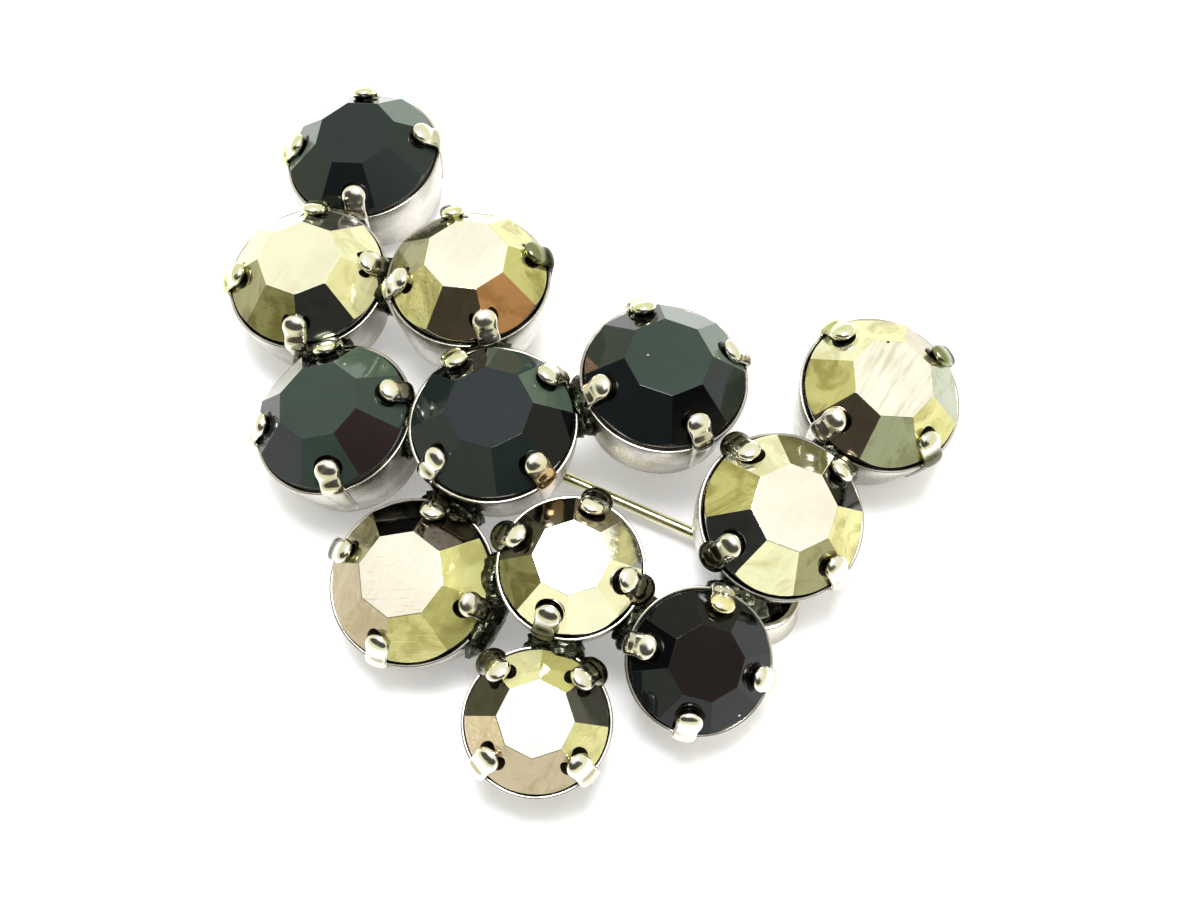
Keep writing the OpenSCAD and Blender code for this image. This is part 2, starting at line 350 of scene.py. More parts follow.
@dataclass(frozen=True)
class FacetFinish(Finish):
    """Finish whose colour changes from facet to facet, as the mesh's facet_tone says, with each
    facet's reflections and shade painted into that tone.
    """

    streak: Triple = (0.7, 0.66, 0.55)
    streak_turn: float = 0.95
    streak_shape: Triple = (1.0, 0.1, 1.0)
    streak_scale: float = 320.0
    mottle: Triple = (0.46, 0.4, 0.2)
    mottle_scale: float = 380.0

    def _color(self, coat: Coat) -> Socket:
        """Gives each facet's tone, with streaks and patches where the tone has them.

        Args:
            coat: The material, whose shader mirrors less where a tone is hazy.

        Returns:
            The colour.
        """
        nodes = coat.nodes
        tone = nodes.add("Attribute", attribute_name="facet_tone").outputs["Color"]
        wear = nodes.add("Attribute", attribute_name="facet_wear").outputs["Vector"]
        streaked, mottled, hazy = nodes.add("SeparateXYZ", i_Vector=wear).outputs
        # Hazy facets mirror less, so their painted tone shows as their own colour
        haze = nodes.calc("MULTIPLY", hazy, -self.metallic)
        nodes.feed(coat.shader.inputs["Metallic"], nodes.calc("ADD", haze, self.metallic))
        turn = nodes.add("Mapping", vector_type="TEXTURE", i_Vector=coat.place,
                         i_Rotation=(0.0, 0.0, self.streak_turn), i_Scale=self.streak_shape)
        grain = nodes.noise(turn.outputs["Vector"], self.streak_scale, i_Detail=3.0,
                            i_Roughness=0.6)
        share = nodes.calc("MULTIPLY", nodes.ramp(grain, 0.46, 0.72), streaked)
        tone = nodes.blend("MULTIPLY", share, tone, self.streak)
        patches = nodes.noise(coat.place, self.mottle_scale, i_Detail=6.0, i_Roughness=0.62,
                              i_Distortion=1.2)
        share = nodes.calc("MULTIPLY", nodes.ramp(patches, 0.46, 0.64), mottled)
        return nodes.blend("MULTIPLY", share, tone, self.mottle)


@dataclass(frozen=True)
class PlateFinish(Finish):
    """Silver plate whose tint changes along the piece, as the mesh's plate_tint says, which paints
    highlights, reflections and shade into it.
    """

    def _color(self, coat: Coat) -> Socket:
        """Gives the tint."""
        return coat.nodes.add("Attribute", attribute_name=TINT).outputs["Color"]


@dataclass(frozen=True)
class SolderFinish(Finish):
    """Finish of the solder: dark, pitted and sparkling."""

    pits: float = 2600.0

    def _height(self, coat: Coat) -> Socket:
        """Adds small pits to the marks."""
        cells = coat.nodes.add("TexVoronoi", i_Vector=coat.place, i_Scale=self.pits)
        return coat.nodes.calc("ADD", cells.outputs["Distance"], coat.marks.outputs["Height"])


PRONG_SILVER = PlateFinish("bright_silver_plate", clean=0.14, smudged=0.26, scale=700.0, bump=0.2)
PIN_WIRE = Finish("warm_silver_wire", linear(214, 209, 168), clean=0.16, smudged=0.28,
                  clouds=0.3, scale=700.0, bump=0.2)
CUP_SILVER = PlateFinish("soft_silver_plate", clean=0.24, smudged=0.36, clouds=0.3,
                         scale=420.0, bump=0.12)
PLAIN_SILVER = Finish("plain_silver_plate", linear(204, 199, 186), clean=0.24, smudged=0.36,
                      clouds=0.4, scale=420.0, bump=0.12)
SOLDER = SolderFinish("dark_solder", linear(74, 76, 64), clean=0.16, smudged=0.4, clouds=1.0,
                      bump=0.8, bump_mm=0.1)
GOLD_GLASS = FacetFinish("gold_coated_glass", slot="gold_stone", clean=0.07, smudged=0.15,
                         clouds=0.15, scale=260.0, bump=0.3, bump_mm=0.05)
BLACK_GLASS = FacetFinish("black_glass", slot="black_stone", metallic=0.0, ior=1.31,
                          clean=0.03, smudged=0.09, clouds=0.15, scale=260.0)


# Shared mesh steps


def show(name: str, data: bpy.types.ID) -> bpy.types.Object:
    """Makes an object and links it to the scene.

    Args:
        name: Its name.
        data: Its mesh, light or camera.

    Returns:
        The object.
    """
    made = bpy.data.objects.new(name, data)
    bpy.context.scene.collection.objects.link(made)
    return made


def to_mesh(bm: BMesh, name: str) -> bpy.types.Mesh:
    """Turns a mesh that was being made into mesh data, and frees it.

    Args:
        bm: The mesh.
        name: Name of the data.

    Returns:
        The data.
    """
    mesh = bpy.data.meshes.new(name)
    bm.to_mesh(mesh)
    bm.free()
    return mesh


def merge(bm: BMesh, other: BMesh) -> None:
    """Adds one mesh to another and frees it.

    Args:
        bm: Mesh that grows.
        other: Mesh that is added.
    """
    mesh = to_mesh(other, "part")
    bm.from_mesh(mesh)
    bpy.data.meshes.remove(mesh)


def finish_piece(
    bm: BMesh,
    name: str,
    finish: Finish,
    place: Matrix = Matrix.Identity(4),
    body: str = BROOCH,
    replaces: str = "setting_frame",
) -> bpy.types.Object:
    """Turns a mesh in millimetres into a finished piece in metres.

    Args:
        bm: The mesh, which is freed.
        name: Name of the piece.
        finish: Its finish. A cut stone's faces stay flat, and others are shaded smooth.
        place: Where it goes in the brooch, in millimetres.
        body: Body that it rides on.
        replaces: CAD node that it stands for.

    Returns:
        The piece.
    """
    bmesh.ops.transform(bm, matrix=place, verts=bm.verts)
    bmesh.ops.scale(bm, vec=(MM, MM, MM), verts=bm.verts)
    for face in bm.faces:
        face.smooth = not isinstance(finish, FacetFinish)
    mesh = to_mesh(bm, name)
    piece = show(name, mesh)
    mesh.materials.append(finish.material())
    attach(piece, body)
    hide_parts(replaces)
    log.info("%s: %d faces", name, len(mesh.polygons))
    return piece


def paint(bm: BMesh, verts: Iterable[BMVert], tint: Callable[[Vector], Sequence[float]]) -> None:
    """Writes the tint of plated metal on vertices, which paints light and shade into it.

    Args:
        bm: The mesh, which gets the layer if it has none. Then verts has to be bm.verts.
        verts: Vertices that are painted.
        tint: Gives the tint at a place.
    """
    layers = bm.verts.layers.float_color
    layer = layers.get(TINT) or layers.new(TINT)
    for vert in verts:
        vert[layer] = tint(vert.co)


def loft(bm: BMesh, ring: Sequence[Pair], places: Sequence[Matrix]) -> None:
    """Pulls a closed outline through places and closes both ends.

    Args:
        bm: Mesh that takes the form.
        ring: Outline as x and y.
        places: Where the outline stands at each step.
    """
    known = set(bm.faces)
    start = [bm.verts.new(places[0] @ Vector((x, y, 0.0))) for x, y in ring]
    first = [bm.edges.new(ends) for ends in zip(start, start[1:] + start[:1])]
    edges = first
    for before, after in zip(places, places[1:]):
        made = bmesh.ops.extrude_edge_only(bm, edges=edges)["geom"]
        verts = [g for g in made if isinstance(g, BMVert)]
        edges = [g for g in made
                 if isinstance(g, bmesh.types.BMEdge) and all(v in verts for v in g.verts)]
        bmesh.ops.transform(bm, matrix=after @ before.inverted(), verts=verts)
    bmesh.ops.edgeloop_fill(bm, edges=first)
    bmesh.ops.edgeloop_fill(bm, edges=edges)
    bmesh.ops.recalc_face_normals(bm, faces=[f for f in bm.faces if f not in known])


def rounded_ring(count: int, squareness: float = 1.0) -> list[Pair]:
    """Gives an outline between a circle and a square, one unit across.

    Args:
        count: Number of points.
        squareness: 1 for a circle, and less for squarer.

    Returns:
        The outline.
    """
    angles = [tau * (i + 0.5) / count for i in range(count)]
    ways = [(cos(a), sin(a)) for a in angles]
    return [tuple(copysign(abs(c) ** squareness, c) / 2 for c in way) for way in ways]


def strip_outline(inner: float, outer: float, high: float) -> list[Pair]:
    """Gives the outline of an upright strip, as radius and height."""
    return [(inner, 0.0), (outer, 0.0), (outer, high), (inner, high)]


def spun(
    bm: BMesh, outline: Sequence[Pair], angle: float = tau, steps: int = 72, start: float = 0.0
) -> None:
    """Spins a closed outline round the Z axis.

    Args:
        bm: Mesh that takes the form.
        outline: Closed outline as radius and height.
        angle: How far it is spun.
        steps: Number of steps.
        start: Angle at which the spin starts.
    """
    turned = Matrix.Rotation(start, 3, "Z")
    verts = [bm.verts.new(turned @ Vector((r, 0.0, z))) for r, z in outline]
    full = angle >= tau - FINE
    if full:
        geom = [bm.edges.new(ends) for ends in zip(verts, verts[1:] + verts[:1])]
    else:
        geom = [bm.faces.new(verts)]
    bmesh.ops.spin(bm, geom=geom, cent=(0, 0, 0), axis=(0, 0, 1), angle=angle, steps=steps,
                   use_merge=full, use_duplicate=False)
    bmesh.ops.remove_doubles(bm, verts=bm.verts, dist=WELD)
    loose = [e for e in bm.edges if not e.link_faces]
    bmesh.ops.delete(bm, geom=loose, context="EDGES")
    bmesh.ops.recalc_face_normals(bm, faces=bm.faces)


def soften(bm: BMesh, width: float, sharp: float = 32.0, segments: int = 2) -> None:
    """Bevels the edges that are sharper than an angle.

    Args:
        bm: The mesh.
        width: Width of the bevel.
        sharp: Smallest angle that is bevelled, in degrees.
        segments: Number of segments.
    """
    edges = [e for e in bm.edges
             if len(e.link_faces) == 2 and e.calc_face_angle(0.0) > radians(sharp)]
    bmesh.ops.bevel(bm, geom=edges, offset=width, segments=segments, profile=0.5,
                    affect="EDGES", material=-1, offset_type="OFFSET", clamp_overlap=True)


def ball(bm: BMesh, size: Triple, place: Matrix, rings: int) -> list[BMVert]:
    """Adds a flattened ball.

    Args:
        bm: Mesh that takes it.
        size: Its half size each way.
        place: Where it goes.
        rings: Number of its rings.

    Returns:
        Its vertices.
    """
    verts = bmesh.ops.create_uvsphere(bm, u_segments=16, v_segments=rings, radius=1.0)["verts"]
    bmesh.ops.scale(bm, vec=size, verts=verts)
    bmesh.ops.transform(bm, matrix=place, verts=verts)
    return verts


def block(size: Triple, at: Sequence[float]) -> BMesh:
    """Makes a block.

    Args:
        size: Its whole size each way.
        at: Its middle.

    Returns:
        The mesh.
    """
    bm = bmesh.new()
    bmesh.ops.create_cube(bm, size=1.0)
    bmesh.ops.scale(bm, vec=size, verts=bm.verts)
    bmesh.ops.translate(bm, vec=at, verts=bm.verts)
    return bm


# Stones


@dataclass(frozen=True)
class Seat:
    """Where a stone sits, in millimetres, read from its CAD node."""

    middle: Vector
    axis: Vector
    turn: float
    diameter: float

    # Height of the table over the girdle and depth of the point, as shares of the diameter,
    # width of the table from corner to corner as the same, and height of the girdle's top
    CROWN_SHARE = 0.245
    PAVILION_SHARE = 0.33
    TABLE_SHARE = 0.545
    GIRDLE_TOP = 0.1

    @classmethod
    def of_node(cls, node: str) -> Seat:
        """Measures a stone.

        Args:
            node: Name of its CAD node.

        Returns:
            Its seat.
        """
        mesh = frame["nodes"][node].data
        # Rounded, so that the triangles of one facet agree
        ways = [tuple(round(c, 2) for c in face.normal) for face in mesh.polygons]
        areas: dict[tuple[float, ...], float] = defaultdict(float)
        for face, way in zip(mesh.polygons, ways):
            areas[way] += face.area
        widest = max(areas, key=areas.get)
        table = [face for face, way in zip(mesh.polygons, ways) if way == widest]
        axis = sum((f.normal * f.area for f in table), Vector()).normalized()
        top = sum((f.center * f.area for f in table), Vector()) / sum(f.area for f in table) / MM
        offs = [v.co / MM - top for v in mesh.vertices]
        diameter = 2 * max((off - axis * off.dot(axis)).length for off in offs)
        corner = max((offs[v] for f in table for v in f.vertices), key=lambda off: off.length)
        local = cls._leaned(axis).to_3x3().inverted() @ corner
        middle = top - axis * diameter * cls.CROWN_SHARE
        return cls(middle, axis, atan2(local.y, local.x) % FACET_STEP, diameter)

    @staticmethod
    def _leaned(axis: Vector) -> Matrix:
        """Gives the rotation that leans a stone from upright to its axis.

        Args:
            axis: The axis.

        Returns:
            The rotation.
        """
        bearing = atan2(axis.y, axis.x)
        lean = Matrix.Rotation(acos(max(-1.0, min(1.0, axis.z))), 4, "Y")
        return Matrix.Rotation(bearing, 4, "Z") @ lean @ Matrix.Rotation(-bearing, 4, "Z")

    @property
    def place(self) -> Matrix:
        """Moves from the stone's own frame to the brooch."""
        return Matrix.Translation(self.middle) @ self._leaned(self.axis)

    @property
    def radius(self) -> float:
        """Radius of the girdle."""
        return self.diameter / 2

    @property
    def crown(self) -> float:
        """Height of the table over the girdle."""
        return self.diameter * self.CROWN_SHARE

    @property
    def rise(self) -> float:
        """Slope of the crown's facets, as height over length."""
        table_reach = self.radius * self.TABLE_SHARE * cos(FACET_STEP / 2)
        return (self.crown - self.GIRDLE_TOP) / (self.radius - table_reach)


@dataclass
class CutStone:
    """A round faceted stone whose facets each have their own tone."""

    name: str
    seat: Seat
    finish: Finish
    table: Tone
    crown_tones: tuple[Tone, ...]
    specks: tuple[tuple[float, float, float, Tone], ...] = ()
    girdle_height: float = 0.25
    # The girdle is dark: a painted shadow line where the stone meets its cup
    girdle_shadow_tone: Tone = Tone.NIGHT
    polish: float = 0.025
    rim_steps: int = 96
    level: float = 0.99
    upright: float = 0.1
    grain: Triple = (1.0, 0.75, 0.4)

    def build(self) -> None:
        """Cuts the stone and gives its facets their tones."""
        seat = self.seat
        pavilion = seat.diameter * seat.PAVILION_SHARE
        bm = bmesh.new()
        bmesh.ops.create_cone(
            bm, cap_ends=True, segments=self.rim_steps, radius1=seat.radius, radius2=seat.radius,
            depth=seat.crown + pavilion,
            matrix=Matrix.Translation((0, 0, (seat.crown - pavilion) / 2)),
        )
        foot = seat.GIRDLE_TOP - self.girdle_height
        for i in range(FACETS):
            bearing = seat.turn + FACET_STEP * (i + 0.5)
            self._slice(bm, bearing, seat.GIRDLE_TOP, atan(seat.rise))
            self._slice(bm, bearing, foot, -atan((pavilion + foot) / seat.radius))
        self._tones(bm)
        soften(bm, self.polish, sharp=20.0)
        self._dust(bm)
        finish_piece(bm, self.name + "_cut", self.finish, seat.place, replaces=self.name)

    def _slice(self, bm: BMesh, bearing: float, height: float, slope: float) -> None:
        """Cuts off what lies outside one facet.

        Args:
            bm: The stone.
            bearing: Direction that the facet faces.
            height: Height of the facet's plane at the girdle.
            slope: Its slope, positive on the crown and negative on the pavilion.
        """
        out = Vector((cos(bearing), sin(bearing), 0.0))
        up = Vector((0, 0, copysign(cos(slope), slope)))
        cut = bmesh.ops.bisect_plane(
            bm, geom=bm.verts[:] + bm.edges[:] + bm.faces[:], dist=FINE,
            plane_co=out * self.seat.radius + Vector((0, 0, height)),
            plane_no=out * sin(abs(slope)) + up, clear_outer=True,
        )["geom_cut"]
        bmesh.ops.edgeloop_fill(bm, edges=[g for g in cut if isinstance(g, bmesh.types.BMEdge)])
        bmesh.ops.remove_doubles(bm, verts=bm.verts, dist=WELD)

    def _tones(self, bm: BMesh) -> None:
        """Writes each facet's tone, which holds its painted reflection and shade, on its corners,
        and the girdle's painted shadow.

        Args:
            bm: The stone.
        """
        tones = bm.loops.layers.float_color.new("facet_tone")
        wears = bm.loops.layers.float_color.new("facet_wear")
        bm.normal_update()
        first = (self.seat.turn + FACET_STEP / 2) % FACET_STEP
        for face in bm.faces:
            bearing = atan2(face.normal.y, face.normal.x) - first
            if face.normal.z > self.level:
                tone = self.table
            elif abs(face.normal.z) < self.upright:
                tone = self.girdle_shadow_tone
            else:
                tone = self.crown_tones[round(bearing / FACET_STEP) % FACETS]
            for loop in face.loops:
                loop[tones] = tone.color
                loop[wears] = tone.wear

    def _dust(self, bm: BMesh) -> None:
        """Lays the specks: flat grains at x, y and of a size and tone, on the table or crown.

        Args:
            bm: The stone.
        """
        tones = bm.loops.layers.float_color["facet_tone"]
        upper = [(f.calc_center_median(), f.normal.copy()) for f in bm.faces if f.normal.z > 0.3]
        for x, y, size, tone in self.specks:
            spot = Vector((x, y, 0.0))
            z = min(at.z - (spot - at).xy.dot(normal.xy) / normal.z for at, normal in upper)
            grain = bmesh.ops.create_icosphere(bm, subdivisions=2, radius=size)["verts"]
            bmesh.ops.scale(bm, vec=self.grain, verts=grain)
            bmesh.ops.translate(bm, vec=(x, y, z), verts=grain)
            for vert in grain:
                for loop in vert.link_loops:
                    loop[tones] = tone.color


# Settings


@dataclass
class Setting:
    """One cup with its four prongs, in its stone's own frame."""

    name: str
    seat: Seat
    prongs: dict[int, Plate]
    closed: bool
    others: tuple[Seat, ...]
    depth_share: float = 0.445
    seat_gap: float = 0.04
    rim: float = 0.2
    rim_z: float = -0.08
    ledge_z: float = -0.5
    inner_wall: float = -0.25
    draw_in: float = 0.65
    knee_share: float = 0.4
    knee_draw: float = 0.25
    floor: float = 0.35
    hole_share: float = 0.5
    # Reach and blotchiness of the painted shade near the next cup
    shade_reach: float = 2.4
    shade_blotch: float = 1.1
    blotch_scale: float = 0.8
    strap_width: float = 1.2
    strap_thick: float = 0.36
    strap_stand: float = 0.28
    strap_foot: float = 0.7
    shoulder: float = 0.5
    shoulder_bulge: float = -0.04
    shoulder_width: float = 1.28
    shoulder_thick: float = 0.59
    waist: Pair = (0.62, 1.22)
    bead: Triple = (0.74, 1.42, 1.3)
    bead_gap: float = 0.02
    bead_reach: float = 0.98
    neck_share: float = 0.4
    # Half size and place of the dark dome, a painted reflection, under a domed prong
    dome: Triple = (0.74, 0.88, 0.62)
    dome_at: Pair = (0.14, -0.02)
    # Half size of the dark ball that paints a shadow line under a bead
    line: Triple = (0.2, 0.6, 0.72)

    # Heights at which the cup's wall bends under and over its knee, as shares of its depth
    UNDER_KNEE = (0.8, 0.6)
    OVER_KNEE = 0.2
    # Steps of a strap up the wall: share of the way to the shoulder, and of the whole width
    STRAP = ((0.0, 0.3), (0.06, 0.48), (0.3, 0.66), (0.65, 0.86), (0.9, 0.98))
    # Steps over the shoulder, and along a bead from its middle, as shares of its half length
    BEND_STEPS = (0.0, 0.25, 0.5, 0.75, 1.0)
    BEAD_STEPS = (-0.5, -0.15, 0.2, 0.55, 0.78, 0.93, 0.998)
    # Place among all steps of the bead's widest one, which the painted shadow line follows
    WIDEST = -5

    @property
    def depth(self) -> float:
        """Depth of the cup under the girdle."""
        return self.seat.diameter * self.depth_share

    def build(self) -> None:
        """Builds the cup and its prongs."""
        self._cup()
        self._prongs()

    def _drawn(self, z: float) -> float:
        """Gives how far the wall has drawn in at a height.

        Args:
            z: Height, negative under the girdle.

        Returns:
            The distance.
        """
        share = -z / self.depth
        if share < self.knee_share:
            return max(share, 0.0) / self.knee_share * self.knee_draw * self.draw_in
        rest = (share - self.knee_share) / (1 - self.knee_share)
        return self.draw_in * (self.knee_draw + rest * (1 - self.knee_draw))

    def _cup(self) -> None:
        """Spins the cup."""
        radius, place = self.seat.radius, self.seat.place
        seat, inner = radius + self.seat_gap, radius + self.inner_wall
        outside = radius + self.rim + self.seat_gap
        knee = -self.knee_share * self.depth
        floor_z = self.floor - self.depth
        hole = 0.0 if self.closed else radius * self.hole_share
        bends = (*self.UNDER_KNEE, self.knee_share, self.OVER_KNEE)
        wall = [-share * self.depth for share in bends]
        outline = [
            (outside - self.draw_in, -self.depth),
            *((outside - self._drawn(z), z) for z in wall),
            (outside, self.rim_z), (seat, self.rim_z), (seat, self.ledge_z), (inner, self.ledge_z),
            (inner - self._drawn(knee), knee), (inner - self.draw_in, floor_z),
            (hole, floor_z), (hole, -self.depth),
        ]
        bm = bmesh.new()
        spun(bm, outline, steps=80)
        soften(bm, 0.06)
        bmesh.ops.recalc_face_normals(bm, faces=bm.faces)
        # Painted shade: the cup darkens where the next cup stands close
        paint(bm, bm.verts, lambda at: Plate.CUP.tint(self._neighbour_shade(place @ at)))
        finish_piece(bm, self.name + "_cup", CUP_SILVER, place)

    def _neighbour_shade(self, spot: Vector) -> float:
        """Tells how much painted shade the cup gets, from how near the next cup is.

        Args:
            spot: Place on the cup, in the brooch.

        Returns:
            0 where it is clear and 1 where a neighbour touches.
        """
        apart = self.shade_reach
        for other in self.others:
            run = spot - other.middle
            off = (run - other.axis * run.dot(other.axis)).length - other.radius
            apart = min(apart, off)
        apart += self.shade_blotch * noise.noise(spot * self.blotch_scale)
        return clamp(1.0 - apart / self.shade_reach)

    def _prongs(self) -> None:
        """Lofts the four prongs: straps up the wall that bend in over the crown."""
        bm = bmesh.new()
        bm.verts.layers.float_color.new(TINT)
        ring = rounded_ring(14, 0.86)
        out, up = self.dome_at
        for bearing, plate in self.prongs.items():
            turn = Matrix.Rotation(radians(bearing), 4, "Z")
            before = set(bm.verts)
            steps = [turn @ step for step in self._strap_steps()]
            loft(bm, ring, steps)
            # A dark dome under the shoulder: a painted reflection of the dark cups beside it
            if plate is Plate.DOMED:
                at = turn @ Matrix.Translation((self.seat.radius + out, 0.0, up))
                ball(bm, self.dome, at, 10)
            made = [v for v in bm.verts if v not in before]
            # Painted highlights, reflections and shade along the prong, from its plate's tints
            paint(bm, made, lambda at: plate.tint(self._down(at)))
            # A dark ball under the bead's inner side: a painted shadow line
            inner = steps[self.WIDEST] @ Matrix.Translation((-0.5, 0.0, 0.0))
            paint(bm, ball(bm, self.line, inner, 8), lambda at: Plate.SHADOW_LINE.tint(0.0))
        piece = finish_piece(bm, self.name + "_prongs", PRONG_SILVER, self.seat.place)
        modifier = piece.modifiers.new("rounded", "SUBSURF")
        modifier.levels = modifier.render_levels = 1

    def _down(self, at: Vector) -> float:
        """Tells how far down a prong a place is: 0 on its bead and 2 at its foot."""
        out = clamp((at.xy.length - self.seat.radius + 0.12) / 0.2)
        return out + clamp(-at.z - 0.5)

    def _strap_steps(self) -> list[Matrix]:
        """Gives where the strap's outline stands from its foot to the end of its bead.

        Returns:
            One matrix per step, which also holds the strap's thickness and width there.
        """
        radius = self.seat.radius
        slope = atan(self.seat.rise * cos(FACET_STEP / 2))
        turn = pi / 2 - slope
        inward = Vector((-cos(slope), sin(slope)))
        over = Vector((sin(slope), cos(slope)))
        stand = radius + self.strap_stand + self.shoulder_bulge
        bead_thick, bead_width, bead_length = self.bead
        line = Vector((radius, self.seat.GIRDLE_TOP)) + over * (bead_thick / 2 + self.bead_gap)
        corner = line + inward * (line.x - stand) / cos(slope)
        bend = Vector((stand - self.shoulder, corner.y - self.shoulder * tan(turn / 2)))
        foot = self.strap_foot - self.depth
        steps: list[tuple[float, float, float, float, float]] = []
        for share, scale in self.STRAP:
            z = foot + (bend.y - foot) * share
            bulge = self.shoulder_bulge * (1 - share ** 4)
            steps.append((stand - self._drawn(z) - bulge, z, 0.0,
                          self.strap_thick * (0.5 + scale / 2), self.strap_width * scale))
        for share in self.BEND_STEPS:
            at = bend + self.shoulder * Vector((cos(turn * share), sin(turn * share)))
            steps.append((at.x, at.y, turn * share, self.shoulder_thick,
                          self.shoulder_width * (1 - 0.04 * share ** 2)))
        last = Vector(steps[-1][:2])
        reach = (last.x - radius + self.bead_reach) / cos(slope)
        middle = reach - bead_length / 2
        neck = middle - bead_length * self.neck_share
        at = last + inward * neck - over * (bead_thick - self.waist[0]) / 2
        steps.append((at.x, at.y, turn, *self.waist))
        for along in self.BEAD_STEPS:
            scale = sqrt(1 - along ** 2)
            at = last + inward * (middle + bead_length / 2 * along)
            steps.append((at.x, at.y, turn, bead_thick * scale, bead_width * scale))
        return [
            Matrix.Translation((r, 0.0, z))
            @ Matrix.Rotation(-tilt, 4, "Y")
            @ Matrix.Diagonal((thick, wide, 1.0, 1.0))
            for r, z, tilt, thick, wide in steps
        ]


@dataclass
class SolderJoints:
    """Lumps of solder where two cups stand close together, and two wider dark lumps that stand in
    for shade.
    """

    seats: dict[str, Seat]
    closest: float = 1.0
    drop: float = 0.95
    size: Triple = (0.9, 1.6, 1.15)
    lumpy: float = 0.25
    coarse: float = 1.7
    fine: float = 5.0
    seed: float = 3.7

    # Dark lumps that stand in for shade beside a cup and inside the guard: middle, size and
    # bearing
    SHADE_FILLS = (
        ((-6.1, -11.9, 3.7), (0.75, 1.9, 1.3), -32.0),
        ((8.2, -11.4, 0.75), (1.3, 1.25, 0.65), 0.0),
    )

    def build(self) -> None:
        """Builds every lump."""
        bm = bmesh.new()
        seats = list(self.seats.values())
        for i, one in enumerate(seats):
            for other in seats[i + 1 :]:
                run = other.middle - one.middle
                if run.length - one.radius - other.radius < self.closest:
                    share = (run.length + one.radius - other.radius) / 2 / run.length
                    at = one.middle + run * share - Vector((0, 0, self.drop))
                    self._lump(bm, at, self.size, atan2(run.y, run.x), i)
        for number, (at, size, bearing) in enumerate(self.SHADE_FILLS):
            self._lump(bm, Vector(at), size, radians(bearing), number)
        finish_piece(bm, "solder_joints", SOLDER)

    def _lump(self, bm: BMesh, at: Vector, size: Triple, bearing: float, number: int) -> None:
        """Adds one lump.

        Args:
            bm: Mesh that takes it.
            at: Its middle.
            size: Its half size along its bearing, across it and upwards.
            bearing: Direction of its first size.
            number: Number that makes its bumps its own.
        """
        made = bmesh.ops.create_icosphere(bm, subdivisions=4, radius=1.0)["verts"]
        for vert in made:
            push = noise.noise(vert.co * self.coarse + Vector((number, self.seed, 0.0)))
            fine = noise.noise(vert.co * self.fine + Vector((self.seed, number, 0.0)))
            vert.co *= 1.0 + self.lumpy * (push + 0.5 * fine)
        bmesh.ops.scale(bm, vec=size, verts=made)
        place = Matrix.Translation(at) @ Matrix.Rotation(bearing, 4, "Z")
        bmesh.ops.transform(bm, matrix=place, verts=made)


# Pin, hinge and catch


